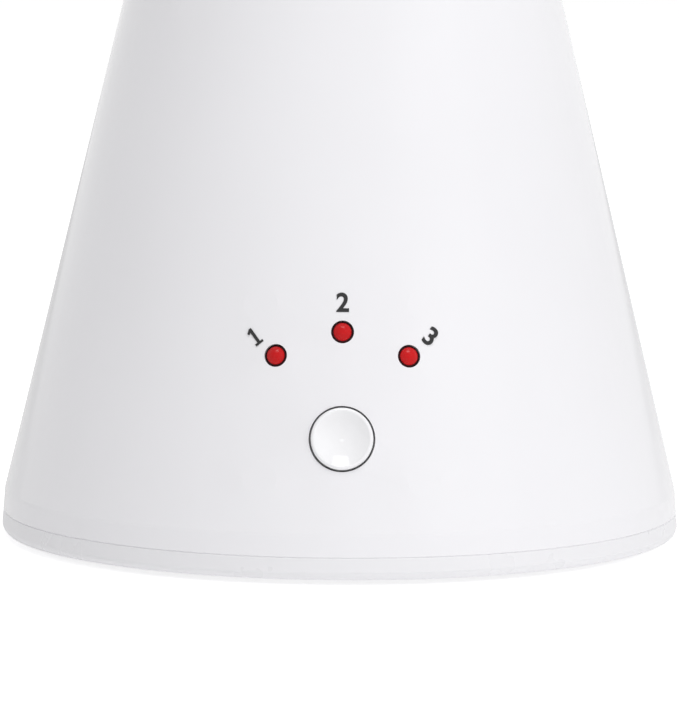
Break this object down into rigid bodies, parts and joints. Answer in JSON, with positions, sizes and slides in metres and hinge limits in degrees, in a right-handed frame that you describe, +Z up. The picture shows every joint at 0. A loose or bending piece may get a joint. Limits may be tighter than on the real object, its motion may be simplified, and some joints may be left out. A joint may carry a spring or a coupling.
{
  "type": "automatic cat laser toy",
  "caption": "Cone-shaped tower with a push button and mode lights, topped by a motor-turned ball head whose tilting mirror throws a moving laser dot.",
  "frame": {"origin": "centre of the base on the surface that the feet stand on", "axes": "+Z up the tower, -Y towards the button and mode lights, +X towards the tilt knob"},
  "size_m": [0.11, 0.11, 0.188],
  "materials": {
    "shell_white": "glossy moulded white",
    "head_white": "glossy moulded white",
    "base_white": "satin gloss moulded white",
    "door_white": "fine matt moulded white",
    "button_white": "glossy moulded white",
    "window_smoke": "polished smoked acrylic",
    "knob_grey": "satin grey",
    "rubber": "matt rubber",
    "mirror_glass": "polished front-silvered mirror",
    "inner_plastic": "satin moulded",
    "black_plastic": "satin moulded",
    "board_green": "solder-masked laminate",
    "lens_red": "translucent red",
    "gear_nylon": "natural acetal",
    "brass": "turned brass",
    "steel": "plated steel",
    "contact_metal": "nickel-plated spring steel",
    "battery_sleeve": "printed film over metal",
    "wire_red": "insulated wire",
    "wire_black": "insulated wire"
  },
  "bodies": {
    "tower": {"cone_shell": "shell_white", "base_tray": "base_white", "rubber_foot_1": "rubber", "rubber_foot_2": "rubber", "rubber_foot_3": "rubber", "rubber_foot_4": "rubber", "battery_1": "battery_sleeve", "battery_2": "battery_sleeve", "battery_3": "battery_sleeve", "battery_4": "battery_sleeve", "contact_bridge_1": "contact_metal", "contact_bridge_2": "contact_metal", "contact_bridge_3": "contact_metal", "contact_negative": "contact_metal", "contact_positive": "contact_metal", "battery_springs": "contact_metal", "control_board": "board_green", "tact_switch": "black_plastic", "control_chip": "black_plastic", "wire_connector": "inner_plastic", "mode_leds": "lens_red", "mode_lens_1": "lens_red", "mode_lens_2": "lens_red", "mode_lens_3": "lens_red", "gear_deck": "inner_plastic", "spindle": "gear_nylon", "gear_cover": "inner_plastic", "idler_axle": "steel", "thrust_washer": "gear_nylon", "retaining_clip": "steel", "motor_can": "steel", "motor_gearbox": "brass", "laser_module": "brass", "base_screws": "steel", "deck_screws": "steel", "board_screws": "steel", "motor_screws": "steel", "cover_screws": "steel", "battery_wires": "wire_black", "motor_wires": "wire_red", "laser_wires": "wire_red"},
    "button": {"power_button": "button_white", "switch_plunger": "black_plastic"},
    "motor_rotor": {"motor_shaft": "steel", "motor_pinion": "brass"},
    "idler": {"idler_gear": "gear_nylon"},
    "head": {"head_gear": "gear_nylon", "head_base": "shell_white", "head_front_shell": "head_white", "head_rear_shell": "head_white", "head_window": "window_smoke", "head_screws": "steel", "hub_screws": "steel"},
    "mirror_mount": {"mirror_carrier": "inner_plastic", "mirror": "mirror_glass", "tilt_knob": "knob_grey", "friction_ring": "rubber"},
    "door": {"battery_door": "door_white", "door_screw": "steel"}
  },
  "joints": [
    {"name": "power_button_press", "type": "slide", "parent": "tower", "child": "button", "axis": [0, 0.9718, -0.2359], "range_m": [0, 0.0005], "stiffness_N_per_m": 800, "springref_m": -0.0005},
    {"name": "head_spin", "type": "hinge", "parent": "tower", "child": "head", "pos_m": [0, 0, 0.159], "axis": [0, 0, 1], "continuous": true},
    {"name": "idler_spin", "type": "hinge", "parent": "tower", "child": "idler", "pos_m": [0.01302, 0.01184, 0.09], "axis": [0, 0, 1], "continuous": true},
    {"name": "motor_spin", "type": "hinge", "parent": "tower", "child": "motor_rotor", "pos_m": [0, 0.018, 0.088], "axis": [0, 0, 1], "continuous": true},
    {"name": "mirror_tilt", "type": "hinge", "parent": "head", "child": "mirror_mount", "pos_m": [0, 0, 0.159], "axis": [1, 0, 0], "range_deg": [-7.5, 9]},
    {"name": "battery_door_swing", "type": "hinge", "parent": "tower", "child": "door", "pos_m": [0, 0.0282, 0.001], "axis": [1, 0, 0], "range_deg": [0, 75]}
  ],
  "couplings": [
    {"joint": "idler_spin", "follows": "head_spin", "ratio": -2.6667},
    {"joint": "motor_spin", "follows": "head_spin", "ratio": 6.9333}
  ]
}
